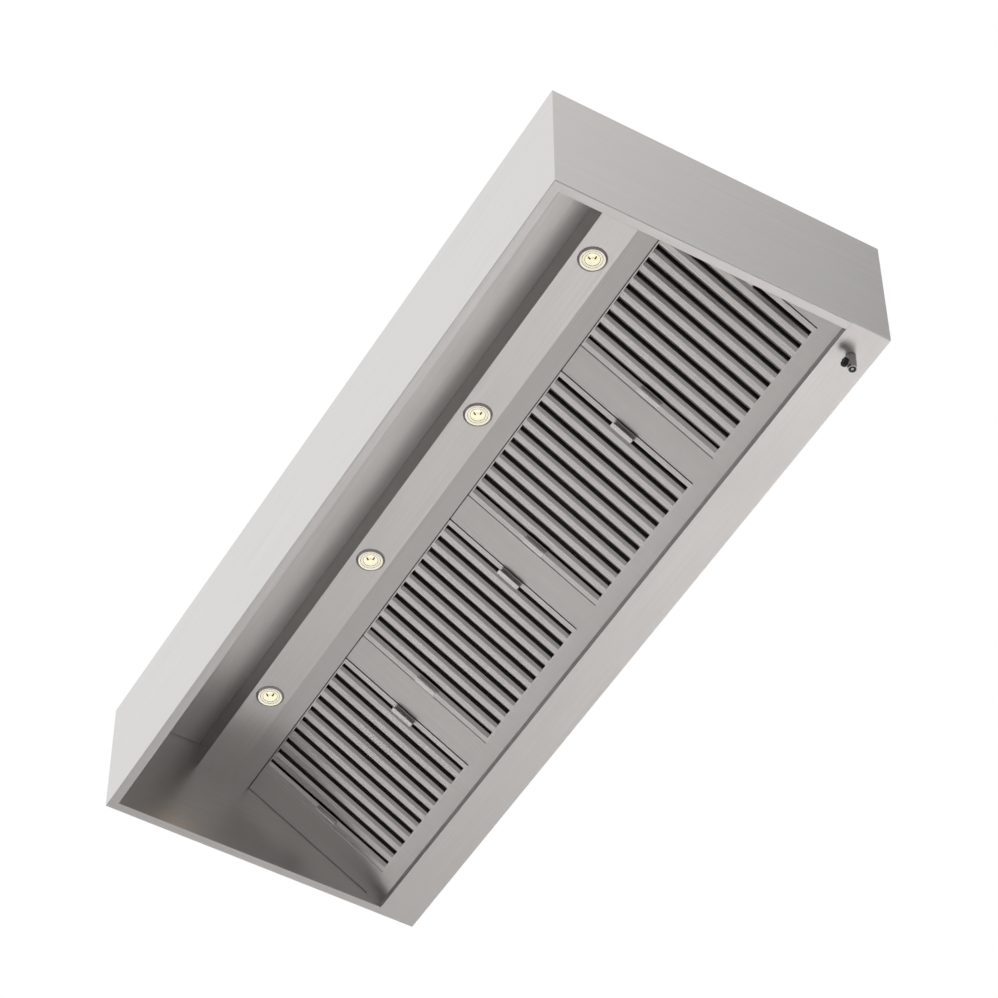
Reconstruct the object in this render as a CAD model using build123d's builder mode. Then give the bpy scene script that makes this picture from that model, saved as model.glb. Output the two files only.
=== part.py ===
"""Commercial canopy hood, 2.5 m wide, with a light box, four baffle filters and a rear grease gutter.

X runs left to right seen from the front, Y runs from the front (negative) to the wall face (zero), Z is up.
The origin is the middle of the wall face's bottom edge.
"""

from math import cos, radians, sin, sqrt, tan
import os

from build123d import *

os.makedirs("parts", exist_ok=True)

# Overall body, millimetres
length = 2500.0
depth = 1000.0
height = 400.0
sheet = 1.5
bend = 3.0
top_flange = 25.0
rim = 28.0
hem = 12.0
fit = 0.3

# Gutter along the foot of the wall face
gutter_depth = 120.0
gutter_lip_height = 22.0

# Ledge that the filters stand on, measured from the wall and from the bottom rim
ledge_back = 105.0
ledge_front = 160.5
ledge_height = 55.0
ledge_drop = 47.0
foot_back = 141.4
bracket_sheet = 2.0
bracket_width = 30.0
bracket_arm_height = 50.0
bracket_tab = 30.0

# Filter bank
slope = 30.0
filter_count = 4
filter_size = 496.0
filter_depth = 25.0
bank_margin = 50.0
frame_sheet = 1.0
frame_end_face = 20.0
frame_side_face = 16.0
drain_slot_length = 24.0
drain_slot_width = 6.0
drain_slot_pitch = 110.0
drain_slot_count = 4
side_gap = 2.0
lift = 25.0

# Baffles: a flat crown, two facets and two lips, in rows that interlock from both faces
baffle_count = 9
baffle_margin = 27.3
baffle_crown = 18.5
baffle_half = 18.3
baffle_facet_drop = 6.8
baffle_lip = 6.2
baffle_sheet = 0.8
first_slot_width = 8.0

# Filter handles
handle_length = 72.0
handle_width = 16.0
handle_reach = 20.0
handle_sheet = 1.5
handle_bend = 2.6
handle_inset = 4.0
left_handle_shift = 9.0

# Strip over the filters' top edges, and the hooks behind it that pocket them
strip_width = 56.0
strip_lap = 13.2
strip_gap = 0.6
pocket_gap = 2.0
pocket_room = 2.4
pocket_lap = 3.6
flange_top = 7.0
hook_leg = 25.0

# Light box and its round spotlights
light_box_width = 108.5
light_box_height = 88.0
light_box_lip = 20.0
light_box_foot = 8.0
tight_bend = 1.8
lamp_hole_radius = 40.0
bezel_sheet = 1.2
bezel_flange_radius = 45.0
bezel_mouth_radius = 39.0
bezel_well_radius = 35.0
bezel_well_depth = 4.0
bezel_window_radius = 20.5
bulb_radius = 25.0
bulb_rim = 3.0
bulb_wall = 1.6
bulb_dish_depth = 21.0
bulb_neck_radius = 9.0
bulb_neck_length = 8.0
capsule_radius = 4.6
capsule_length = 14.0
pin_radius = 0.75
pin_length = 6.0
pin_spread = 5.3
holder_length = 20.0
holder_width = 12.0
holder_height = 14.0
retainer_sheet = 1.2

# Exhaust collar on the roof
collar_back = 280.0
collar_radius = 200.0
collar_length = 60.0
collar_sheet = 1.0
collar_flange = 25.0
collar_bend = 2.0
collar_rivets = 8
rivet_radius = 1.6
rivet_head_radius = 3.4
rivet_head = 1.5
rivet_tail = 2.0

# Hanging brackets for threaded rods, on the roof
hanger_from_end = 200.0
hanger_from_front = 100.0
hanger_sheet = 3.0
hanger_width = 50.0
hanger_height = 32.0
hanger_inside = 54.0
hanger_foot = 28.0
hanger_bend = 4.0
hanger_hole_radius = 5.5

# Wall fixing holes in the rear panel
wall_hole_radius = 5.5
wall_hole_from_end = 200.0
wall_hole_low = 110.0
wall_hole_below_top = 50.0

# Junction box over the light box, its gland and the lamp cable
box_x = 0.0
box_length = 110.0
box_width = 76.0
box_height = 42.0
box_wall = 2.5
lid_thickness = 3.0
lid_lip = 4.0
gland_radius = 8.0
gland_bore_radius = 4.5
gland_hex = 22.0
gland_hex_length = 5.0
gland_dome_radius = 10.0
gland_dome_length = 16.0
gland_nut_length = 4.0
cable_radius = 3.5
grommet_hole_radius = 10.0
grommet_flange = 3.0
grommet_thickness = 1.5
cable_drop = 20.0
cable_bend = 12.0
cable_side = 28.0

# Drain cock in the gutter
drain_from_end = 95.0
drain_back = 60.0
drain_bore_radius = 5.0
drain_stub_radius = 8.0
drain_stub_height = 10.0
drain_hex = 24.0
drain_hex_height = 6.0
drain_seal_radius = 14.0
drain_seal_thickness = 2.0
drain_collar_thickness = 4.0
drain_barrel_radius = 13.0
drain_barrel_end = 43.0
drain_spigot_radius = 12.0
drain_spigot_bore = 7.0
drain_spigot_bore_depth = 8.0
drain_end = 52.0
stem_drop = 36.0
stem_radius = 3.0
ball_radius = 7.0
ball_bore_radius = 4.5
boss_radius = 6.5
boss_reach = 15.0
knob_radius = 13.0
knob_thickness = 12.0
knob_gap = 1.0
knob_fillet = 2.0

# Places that follow from the sizes above
half_length = length / 2
inside_half = half_length - sheet
roof_top = height - sheet
roof_under = roof_top - sheet
slope_cos = cos(radians(slope))
slope_sin = sin(radians(slope))
ledge_top = ledge_height + sheet
foot_y = -foot_back
foot_z = ledge_top + fit
filter_pitch = (length - 2 * bank_margin) / filter_count
first_filter = -filter_pitch * (filter_count - 1) / 2
filter_centres = [first_filter + filter_pitch * n for n in range(filter_count)]
lamp_centres = filter_centres


def bank_point(up, into):
    """Y and Z of a point of the filter bank: up the slope from its foot, and into the space behind it."""
    return (foot_y - slope_cos * up + slope_sin * into, foot_z + slope_sin * up + slope_cos * into)


# Planes of the filter bank: its face, and its cross-section looking up the slope
face_plane = Plane(origin=(0, foot_y, foot_z), x_dir=(1, 0, 0), z_dir=(0, slope_sin, slope_cos))
cross_plane = Plane(origin=(0, foot_y, foot_z), x_dir=(1, 0, 0), z_dir=(0, -slope_cos, slope_sin))

# Corners of the light panel's strip over the filters, and of the hooks behind it
strip_y, strip_z = bank_point(filter_size - strip_lap, -(sheet + strip_gap))
light_back = strip_y - strip_width
light_front = light_back - light_box_width
light_under = roof_under - light_box_height
lamp_y = (light_back + light_front) / 2
pocket_into = filter_depth + pocket_gap + sheet
pocket_top = bank_point(filter_size + lift + pocket_room, pocket_into)
pocket_end = bank_point(filter_size - pocket_lap, pocket_into)

# Right corners of the plan, where the walls meet in mitres
front_right_mitre = Plane(origin=(half_length, -depth, 0), z_dir=(1, 1, 0))
front_left_mitre = Plane(origin=(-half_length, -depth, 0), z_dir=(-1, 1, 0))
rear_right_mitre = Plane(origin=(half_length, 0, 0), z_dir=(1, -1, 0))
rear_left_mitre = Plane(origin=(-half_length, 0, 0), z_dir=(-1, -1, 0))

# Front panel: top flange, face and hemmed bottom rim
with BuildPart() as front_panel:
    with BuildSketch(Plane.YZ.offset(-half_length)) as front_profile:
        with BuildLine():
            FilletPolyline(
                (-depth + top_flange, height), (-depth, height), (-depth, 0), (-depth + rim, 0), radius=bend
            )
            offset(amount=sheet, side=Side.LEFT)
        make_face()
        with Locations((-depth + rim - hem / 2, sheet)):
            Rectangle(hem, 2 * sheet)
        hem_edge = -depth + rim
        fillet(front_profile.vertices().filter_by_position(Axis.X, hem_edge - fit, hem_edge + fit), sheet - fit)
    extrude(amount=length)
    split(bisect_by=front_right_mitre, keep=Keep.BOTTOM)
    split(bisect_by=front_left_mitre, keep=Keep.BOTTOM)
front_panel.part.label = "front_panel"
export_step(front_panel.part, "parts/front_panel.step")

# End panels: the same section turned a quarter, with the rim cut away over the gutter
with BuildPart() as right_end_panel:
    with BuildSketch(Plane.XZ) as end_profile:
        with BuildLine():
            FilletPolyline(
                (half_length - rim, 0), (half_length, 0),
                (half_length, height), (half_length - top_flange, height), radius=bend,
            )
            offset(amount=sheet, side=Side.LEFT)
        make_face()
        with Locations((half_length - rim + hem / 2, sheet)):
            Rectangle(hem, 2 * sheet)
        hem_edge = half_length - rim
        fillet(end_profile.vertices().filter_by_position(Axis.X, hem_edge - fit, hem_edge + fit), sheet - fit)
    extrude(amount=depth)
    split(bisect_by=front_right_mitre, keep=Keep.TOP)
    split(bisect_by=rear_right_mitre, keep=Keep.TOP)
    with BuildSketch(Plane.XY):
        with Locations((inside_half, 0)):
            Rectangle(rim, gutter_depth, align=(Align.MAX, Align.MAX))
    extrude(amount=2 * sheet + fit, mode=Mode.SUBTRACT)
right_end_panel.part.label = "right_end_panel"
export_step(right_end_panel.part, "parts/right_end_panel.step")

with BuildPart() as left_end_panel:
    mirror(right_end_panel.part, about=Plane.YZ)
left_end_panel.part.label = "left_end_panel"
export_step(left_end_panel.part, "parts/left_end_panel.step")

# Rear panel: top flange and face, with the wall fixing holes
wall_hole_high = height - wall_hole_below_top
with BuildPart() as rear_panel:
    with BuildSketch(Plane.YZ.offset(-half_length)):
        with BuildLine():
            FilletPolyline((0, 0), (0, height), (-top_flange, height), radius=bend)
            offset(amount=sheet, side=Side.LEFT)
        make_face()
    extrude(amount=length)
    split(bisect_by=rear_right_mitre, keep=Keep.BOTTOM)
    split(bisect_by=rear_left_mitre, keep=Keep.BOTTOM)
    with BuildSketch(Plane.XZ):
        with Locations((0, (wall_hole_low + wall_hole_high) / 2)):
            with GridLocations(length - 2 * wall_hole_from_end, wall_hole_high - wall_hole_low, 2, 2):
                Circle(wall_hole_radius)
    extrude(amount=sheet, mode=Mode.SUBTRACT)
rear_panel.part.label = "rear_panel"
export_step(rear_panel.part, "parts/rear_panel.step")

# Places on the roof
collar_y = -collar_back
roof_edge = sheet + bend
hanger_x = half_length - hanger_from_end
hanger_places = [
    (x, y) for x in (-hanger_x, hanger_x) for y in (-depth + hanger_from_front, -hanger_from_front)
]
hanger_rivet_x = hanger_inside / 2 + hanger_sheet + hanger_foot / 2
hanger_rivet_places = [(x + side * hanger_rivet_x, y) for x, y in hanger_places for side in (-1, 1)]
collar_rivet_circle = collar_radius + collar_flange / 2

# Roof panel under the top flanges, holed for the duct, the lamp cable and the rivets
with BuildPart() as roof_panel:
    with BuildSketch(Plane.XY.offset(roof_under)):
        with Locations((0, -depth / 2)):
            Rectangle(length - 2 * roof_edge, depth - 2 * roof_edge)
        with Locations((0, collar_y)):
            Circle(collar_radius - collar_bend - collar_sheet, mode=Mode.SUBTRACT)
            with PolarLocations(collar_rivet_circle, collar_rivets):
                Circle(rivet_radius + fit / 2, mode=Mode.SUBTRACT)
        with Locations((box_x, lamp_y)):
            Circle(grommet_hole_radius, mode=Mode.SUBTRACT)
        with Locations(*hanger_rivet_places):
            Circle(rivet_radius + fit / 2, mode=Mode.SUBTRACT)
    extrude(amount=sheet)
roof_panel.part.label = "roof_panel"
export_step(roof_panel.part, "parts/roof_panel.step")

# Gutter: a flat pan between the end panels, holed for the drain, with a lip along its front edge
drain_x = half_length - drain_from_end
with BuildPart() as gutter:
    with BuildSketch(Plane.XY):
        with Locations((0, -sheet)):
            Rectangle(2 * inside_half, gutter_depth - 2 * sheet, align=(Align.CENTER, Align.MAX))
        with Locations((drain_x, -drain_back)):
            Circle(drain_stub_radius + fit, mode=Mode.SUBTRACT)
    extrude(amount=sheet)
gutter.part.label = "gutter"
export_step(gutter.part, "parts/gutter.step")

with BuildPart() as gutter_lip:
    with BuildSketch(Plane.XY):
        with Locations((0, -gutter_depth)):
            Rectangle(2 * inside_half, sheet, align=(Align.CENTER, Align.MIN))
    extrude(amount=gutter_lip_height)
    fillet(gutter_lip.edges().filter_by(Axis.X).group_by(Axis.Z)[0].sort_by(Axis.Y)[0], sheet - fit)
gutter_lip.part.label = "gutter_lip"
export_step(gutter_lip.part, "parts/gutter_lip.step")

# Lower rail: a level ledge whose front lip ends just under the filters, with a flange down into the gutter
lip_top = foot_z + (ledge_front - sheet - foot_back) * tan(radians(slope)) - fit / slope_cos
with BuildPart() as lower_rail:
    with BuildSketch(Plane.YZ.offset(-inside_half)):
        with BuildLine():
            FilletPolyline(
                (-ledge_front, lip_top), (-ledge_front, ledge_height),
                (-ledge_back - bend, ledge_height), radius=bend,
            )
            offset(amount=sheet, side=Side.LEFT)
        make_face()
        with BuildLine():
            FilletPolyline(
                (-ledge_back - bend, ledge_top), (-ledge_back, ledge_top),
                (-ledge_back, ledge_height - ledge_drop), radius=bend - sheet / 2,
            )
            offset(amount=sheet, side=Side.RIGHT)
        make_face()
    extrude(amount=2 * inside_half)
lower_rail.part.label = "lower_rail"
export_step(lower_rail.part, "parts/lower_rail.step")

# Brackets that carry the lower rail from the rear panel, above the liquid in the gutter
bracket_back = -sheet - bracket_sheet
with BuildPart() as rail_brackets:
    with BuildSketch(Plane.YZ.offset(-bracket_width / 2)):
        with BuildLine():
            FilletPolyline(
                (-ledge_back, bracket_arm_height - bracket_tab),
                (-ledge_back, bracket_arm_height),
                (bracket_back, bracket_arm_height),
                (bracket_back, bracket_arm_height + bracket_tab),
                radius=bend,
            )
            offset(amount=bracket_sheet, side=Side.RIGHT)
        make_face()
    extrude(amount=bracket_width)
bracket = rail_brackets.part
with BuildPart() as lower_rail_brackets:
    with Locations(*[(filter_pitch * n, 0, 0) for n in range(-filter_count // 2, filter_count // 2 + 1)]):
        add(bracket)
lower_rail_brackets.part.label = "lower_rail_brackets"
export_step(lower_rail_brackets.part, "parts/lower_rail_brackets.step")

# Light panel: one sheet with a round hole for each lamp, that runs on into the strip over the filters' tops
with BuildPart() as light_panel:
    with BuildSketch(Plane.YZ.offset(-inside_half)):
        with BuildLine():
            FilletPolyline(
                (light_front, light_under), (light_back, light_under), (strip_y, strip_z), radius=bend
            )
            offset(amount=sheet, side=Side.LEFT)
        make_face()
    extrude(amount=2 * inside_half)
    with BuildSketch(Plane.XY.offset(light_under)):
        with Locations(*[(x, lamp_y) for x in lamp_centres]):
            Circle(lamp_hole_radius)
    extrude(amount=sheet, mode=Mode.SUBTRACT)
light_panel.part.label = "light_panel"
export_step(light_panel.part, "parts/light_panel.step")

# Light box: front and rear channels hung under the roof, whose feet stand on the light panel
foot_under = light_under + sheet
with BuildPart() as light_box:
    with BuildSketch(Plane.YZ.offset(-inside_half)):
        with BuildLine():
            FilletPolyline(
                (light_front + light_box_lip, roof_under), (light_front, roof_under),
                (light_front, foot_under), (light_front + light_box_foot, foot_under), radius=tight_bend,
            )
            offset(amount=sheet, side=Side.LEFT)
        make_face()
        with BuildLine():
            FilletPolyline(
                (light_back - light_box_foot, foot_under), (light_back, foot_under),
                (light_back, roof_under), (light_back - light_box_lip, roof_under), radius=tight_bend,
            )
            offset(amount=sheet, side=Side.LEFT)
        make_face()
    extrude(amount=2 * inside_half)
light_box.part.label = "light_box"
export_step(light_box.part, "parts/light_box.step")

# Upper rail: a hook on the back of the light box above each filter, open down the slope over its top end
hook_top = pocket_top[1] + flange_top
with BuildPart() as upper_rail:
    for x in filter_centres:
        with BuildSketch(Plane.YZ.offset(x - filter_size / 2)):
            with BuildLine():
                FilletPolyline(
                    pocket_end, pocket_top,
                    (light_back, hook_top), (light_back, hook_top - hook_leg), radius=bend,
                )
                offset(amount=sheet, side=Side.LEFT)
            make_face()
        extrude(amount=filter_size)
upper_rail.part.label = "upper_rail"
export_step(upper_rail.part, "parts/upper_rail.step")

# Blank panels between the filters and beside the end walls, flush with the filter faces
blank_half = filter_pitch / 2 - filter_size / 2 - side_gap
outer_filter_edge = filter_pitch * (filter_count - 1) / 2 + filter_size / 2
blank_edges = [(-inside_half + fit, -outer_filter_edge - side_gap)]
blank_edges += [(x - blank_half, x + blank_half) for x in [c + filter_pitch / 2 for c in filter_centres[:-1]]]
blank_edges += [(outer_filter_edge + side_gap, inside_half - fit)]
blank_depth = filter_depth + pocket_gap - fit
for number, (left, right) in enumerate(blank_edges, start=1):
    with BuildPart() as blank_panel:
        with BuildSketch(cross_plane):
            with BuildLine():
                FilletPolyline((left, blank_depth), (left, 0), (right, 0), (right, blank_depth), radius=bend)
                offset(amount=sheet, side=Side.LEFT)
            make_face()
        extrude(amount=filter_size)
    blank_panel.part.label = f"blank_panel_{number}"
    export_step(blank_panel.part, f"parts/blank_panel_{number}.step")

# One baffle of each row, drawn across the slope
baffle_low = frame_sheet + fit
baffle_length = filter_size - 2 * baffle_low
crown_half = baffle_crown / 2
facet_depth = frame_sheet + baffle_facet_drop
baffle_pitch = (filter_size - 2 * baffle_margin) / baffle_count
back_face = filter_depth - frame_sheet
back_facet = back_face - baffle_facet_drop
with BuildPart() as front_baffle:
    with BuildSketch(cross_plane.offset(baffle_low)):
        with BuildLine():
            Polyline(
                (-baffle_half, facet_depth + baffle_lip), (-baffle_half, facet_depth),
                (-crown_half, frame_sheet), (crown_half, frame_sheet),
                (baffle_half, facet_depth), (baffle_half, facet_depth + baffle_lip),
            )
            offset(amount=baffle_sheet, side=Side.LEFT)
        make_face()
    extrude(amount=baffle_length)

with BuildPart() as rear_baffle:
    with BuildSketch(cross_plane.offset(baffle_low)):
        with BuildLine():
            Polyline(
                (-baffle_half, back_facet - baffle_lip), (-baffle_half, back_facet), (-crown_half, back_face),
                (crown_half, back_face), (baffle_half, back_facet), (baffle_half, back_facet - baffle_lip),
            )
            offset(amount=baffle_sheet, side=Side.RIGHT)
        make_face()
    extrude(amount=baffle_length)

# Half baffle of the front row, beside the frame's left side
half_baffle_end = filter_size / 2 - frame_sheet - fit
first_slot = baffle_pitch * (baffle_count - 1) / 2 + baffle_half + first_slot_width
with BuildPart() as front_half_baffle:
    with BuildSketch(cross_plane.offset(baffle_low)):
        with BuildLine():
            Polyline(
                (-half_baffle_end, frame_sheet), (-first_slot - baffle_half + crown_half, frame_sheet),
                (-first_slot, facet_depth), (-first_slot, facet_depth + baffle_lip),
            )
            offset(amount=baffle_sheet, side=Side.LEFT)
        make_face()
    extrude(amount=baffle_length)

# Half baffle of the rear row, that closes the last slot against the frame's right side
last_slot = baffle_pitch * baffle_count / 2
with BuildPart() as rear_half_baffle:
    with BuildSketch(cross_plane.offset(baffle_low)):
        with BuildLine():
            Polyline(
                (last_slot - baffle_half, back_facet - baffle_lip), (last_slot - baffle_half, back_facet),
                (last_slot - crown_half, back_face), (half_baffle_end, back_face),
            )
            offset(amount=baffle_sheet, side=Side.RIGHT)
        make_face()
    extrude(amount=baffle_length)

# Filters: frame, front baffles, rear baffles and two handles
window_width = filter_size - 2 * frame_side_face
window_height = filter_size - 2 * frame_end_face
inner_size = filter_size - 2 * frame_sheet
handle_outer = filter_size / 2 - handle_inset
handle_inner = handle_outer - handle_width
left_outer = handle_outer - left_handle_shift
left_inner = handle_inner - left_handle_shift
front_places = [baffle_pitch * (n - (baffle_count - 1) / 2) for n in range(baffle_count)]
rear_places = [baffle_pitch * (n - (baffle_count - 2) / 2) for n in range(baffle_count - 1)]
for number, x in enumerate(filter_centres, start=1):
    with BuildPart() as filter_frame:
        with BuildSketch(face_plane):
            with Locations((x, -filter_size / 2)):
                Rectangle(filter_size, filter_size)
                Rectangle(window_width, window_height, mode=Mode.SUBTRACT)
        extrude(amount=filter_depth)
        with BuildSketch(face_plane.offset(frame_sheet)):
            with Locations((x, -filter_size / 2)):
                Rectangle(inner_size, inner_size)
        extrude(amount=filter_depth - 2 * frame_sheet, mode=Mode.SUBTRACT)
        with BuildSketch(cross_plane):
            with Locations((x, filter_depth / 2)):
                with GridLocations(drain_slot_pitch, 0, drain_slot_count, 1):
                    SlotOverall(drain_slot_length, drain_slot_width)
        extrude(amount=frame_sheet, mode=Mode.SUBTRACT)
    filter_frame.part.label = f"filter_{number}_frame"
    export_step(filter_frame.part, f"parts/filter_{number}_frame.step")

    with BuildPart() as front_baffles:
        with Locations(*[(x + place, 0, 0) for place in front_places]):
            add(front_baffle.part)
        with Locations((x, 0, 0)):
            add(front_half_baffle.part)
    front_baffles.part.label = f"filter_{number}_front_baffles"
    export_step(front_baffles.part, f"parts/filter_{number}_front_baffles.step")

    with BuildPart() as rear_baffles:
        with Locations(*[(x + place, 0, 0) for place in rear_places]):
            add(rear_baffle.part)
        with Locations((x, 0, 0)):
            add(rear_half_baffle.part)
            add(rear_half_baffle.part.mirror(Plane.YZ))
    rear_baffles.part.label = f"filter_{number}_rear_baffles"
    export_step(rear_baffles.part, f"parts/filter_{number}_rear_baffles.step")

    # Each handle is a channel open towards its side of the filter, with its base flange on the side member
    with BuildPart() as handles:
        with BuildSketch(cross_plane.offset(filter_size / 2 - handle_length / 2)):
            with BuildLine():
                FilletPolyline(
                    (x + handle_outer, 0), (x + handle_inner, 0),
                    (x + handle_inner, -handle_reach), (x + handle_outer, -handle_reach), radius=handle_bend,
                )
                offset(amount=handle_sheet, side=Side.LEFT)
            make_face()
            with BuildLine():
                FilletPolyline(
                    (x - handle_outer, 0), (x - left_inner, 0),
                    (x - left_inner, -handle_reach), (x - left_outer, -handle_reach), radius=handle_bend,
                )
                offset(amount=handle_sheet, side=Side.RIGHT)
            make_face()
        extrude(amount=handle_length)
    handles.part.label = f"filter_{number}_handles"
    export_step(handles.part, f"parts/filter_{number}_handles.step")

# Lamps: a well-shaped bezel on the light panel, a reflector bulb on the bezel, its retainer and its holder
panel_top = sheet
plate_under = panel_top + bezel_sheet + bezel_well_depth
plate_top = plate_under + bezel_sheet
bulb_under = plate_top + fit
dish_top = bulb_under + bulb_rim + bulb_dish_depth
neck_top = dish_top + bulb_neck_length
holder_under = neck_top + fit
holder_top = holder_under + holder_height
retainer_places = []
for number, x in enumerate(lamp_centres, start=1):
    lamp_plane = Plane(origin=(x, lamp_y, light_under), x_dir=(1, 0, 0), z_dir=(0, -1, 0))
    lamp_axis = Axis((x, lamp_y, 0), (0, 0, 1))
    with BuildPart() as bezel:
        with BuildSketch(lamp_plane):
            with BuildLine():
                Polyline(
                    (bezel_flange_radius, panel_top), (bezel_mouth_radius, panel_top),
                    (bezel_well_radius, plate_under), (bezel_window_radius, plate_under),
                )
                offset(amount=bezel_sheet, side=Side.RIGHT)
            make_face()
        revolve(axis=lamp_axis)
    bezel.part.label = f"lamp_{number}_bezel"
    export_step(bezel.part, f"parts/lamp_{number}_bezel.step")

    # The bulb is a flared dish round a small glass capsule, closed at the neck, on two pins
    with BuildPart() as bulb:
        with BuildSketch(lamp_plane):
            with BuildLine():
                rim_top = bulb_under + bulb_rim
                Line((0, rim_top), (capsule_radius, rim_top))
                Line((capsule_radius, rim_top), (capsule_radius, rim_top + capsule_length))
                Line(
                    (capsule_radius, rim_top + capsule_length),
                    (bulb_neck_radius - bulb_wall, rim_top + capsule_length),
                )
                ThreePointArc(
                    (bulb_neck_radius - bulb_wall, rim_top + capsule_length),
                    (bulb_radius * 0.7 - bulb_wall, rim_top + capsule_length * 0.45),
                    (bulb_radius - 2 * bulb_wall, bulb_under),
                )
                Line((bulb_radius - 2 * bulb_wall, bulb_under), (bulb_radius, bulb_under))
                Line((bulb_radius, bulb_under), (bulb_radius, rim_top))
                Line((bulb_radius, rim_top), (bulb_radius - bulb_wall, rim_top))
                ThreePointArc(
                    (bulb_radius - bulb_wall, rim_top),
                    (bulb_radius * 0.7, rim_top + bulb_dish_depth * 0.56),
                    (bulb_neck_radius, dish_top),
                )
                Line((bulb_neck_radius, dish_top), (bulb_neck_radius, neck_top))
                Line((bulb_neck_radius, neck_top), (0, neck_top))
                Line((0, neck_top), (0, rim_top))
            make_face()
        revolve(axis=lamp_axis)
        with BuildSketch(Plane.XY.offset(light_under + neck_top)):
            with Locations((x - pin_spread / 2, lamp_y), (x + pin_spread / 2, lamp_y)):
                Circle(pin_radius)
        extrude(amount=pin_length)
    bulb.part.label = f"lamp_{number}_bulb"
    export_step(bulb.part, f"parts/lamp_{number}_bulb.step")

    with BuildPart() as holder:
        with BuildSketch(Plane.XY.offset(light_under + holder_under)):
            with Locations((x, lamp_y)):
                Rectangle(holder_length, holder_width)
        extrude(amount=holder_height)
        chamfer(holder.edges().filter_by(Axis.Z), holder_width / 6)
        with BuildSketch(Plane.XY.offset(light_under + holder_under)):
            with Locations((x - pin_spread / 2, lamp_y), (x + pin_spread / 2, lamp_y)):
                Circle(pin_radius + fit)
        extrude(amount=pin_length + fit, mode=Mode.SUBTRACT)
    holder.part.label = f"lamp_{number}_holder"
    export_step(holder.part, f"parts/lamp_{number}_holder.step")

    # The retainer is a stepped ring on the bezel plate that traps the rim of the bulb
    retainer_top = bulb_under + bulb_rim + fit
    with BuildPart() as retainer:
        with BuildSketch(lamp_plane):
            with BuildLine():
                Polyline(
                    (bulb_radius + fit, plate_top), (bulb_radius + fit, retainer_top),
                    (bulb_radius - bulb_wall + fit, retainer_top),
                )
                offset(amount=retainer_sheet, side=Side.RIGHT)
            make_face()
        revolve(axis=lamp_axis)
    retainer_places.append(retainer.part)

with BuildPart() as lamp_retainers:
    add(retainer_places)
lamp_retainers.part.label = "lamp_retainers"
export_step(lamp_retainers.part, "parts/lamp_retainers.step")

# Lamp cable: a trunk along the light box, a lead down to each holder and a riser into the junction box
trunk_z = light_under + holder_top + cable_drop
trunk_y = lamp_y - cable_side
riser_top = roof_top + box_wall + cable_drop / 2
with BuildPart() as lamp_cable:
    with BuildSketch(Plane.YZ.offset(lamp_centres[0] - 2 * cable_radius)):
        with Locations((trunk_y, trunk_z)):
            Circle(cable_radius)
    extrude(amount=lamp_centres[-1] - lamp_centres[0] + 4 * cable_radius)
    for x in lamp_centres:
        with BuildLine() as lead:
            FilletPolyline(
                (x, lamp_y, light_under + holder_top), (x, lamp_y, trunk_z), (x, trunk_y, trunk_z),
                radius=cable_bend,
            )
        with BuildSketch(Plane.XY.offset(light_under + holder_top)):
            with Locations((x, lamp_y)):
                Circle(cable_radius)
        sweep(path=lead.wires()[0])
    with BuildLine() as riser:
        FilletPolyline(
            (box_x, lamp_y, riser_top), (box_x, lamp_y, trunk_z), (box_x, trunk_y, trunk_z), radius=cable_bend
        )
    with BuildSketch(Plane.XY.offset(riser_top)):
        with Locations((box_x, lamp_y)):
            Circle(cable_radius)
    sweep(path=riser.wires()[0])
lamp_cable.part.label = "lamp_cable"
export_step(lamp_cable.part, "parts/lamp_cable.step")

# Rubber grommet where the cable passes the roof
with BuildPart() as roof_grommet:
    with BuildSketch(Plane(origin=(box_x, lamp_y, roof_under), x_dir=(1, 0, 0), z_dir=(0, -1, 0))):
        with BuildLine():
            Polyline(
                (cable_radius + fit, -grommet_thickness),
                (grommet_hole_radius + grommet_flange, -grommet_thickness),
                (grommet_hole_radius + grommet_flange, 0),
                (grommet_hole_radius - fit, 0),
                (grommet_hole_radius - fit, sheet),
                (grommet_hole_radius + grommet_flange, sheet),
                (grommet_hole_radius + grommet_flange, sheet + grommet_thickness),
                (cable_radius + fit, sheet + grommet_thickness),
                close=True,
            )
        make_face()
    revolve(axis=Axis((box_x, lamp_y, 0), (0, 0, 1)))
roof_grommet.part.label = "roof_grommet"
export_step(roof_grommet.part, "parts/roof_grommet.step")

# Junction box on the roof, open above, with a hole over the grommet and one for the gland
gland_z = roof_top + box_height / 2
box_left = box_x - box_length / 2
with BuildPart() as junction_box:
    with BuildSketch(Plane.XY.offset(roof_top)):
        with Locations((box_x, lamp_y)):
            RectangleRounded(box_length, box_width, 2 * box_wall)
    extrude(amount=box_height)
    offset(amount=-box_wall, openings=junction_box.faces().sort_by(Axis.Z)[-1])
    with BuildSketch(Plane.XY.offset(roof_top)):
        with Locations((box_x, lamp_y)):
            Circle(grommet_hole_radius + grommet_flange + fit)
    extrude(amount=box_wall, mode=Mode.SUBTRACT)
    with BuildSketch(Plane.YZ.offset(box_left)):
        with Locations((lamp_y, gland_z)):
            Circle(gland_radius + fit)
    extrude(amount=box_wall, mode=Mode.SUBTRACT)
junction_box.part.label = "junction_box"
export_step(junction_box.part, "parts/junction_box.step")

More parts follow.
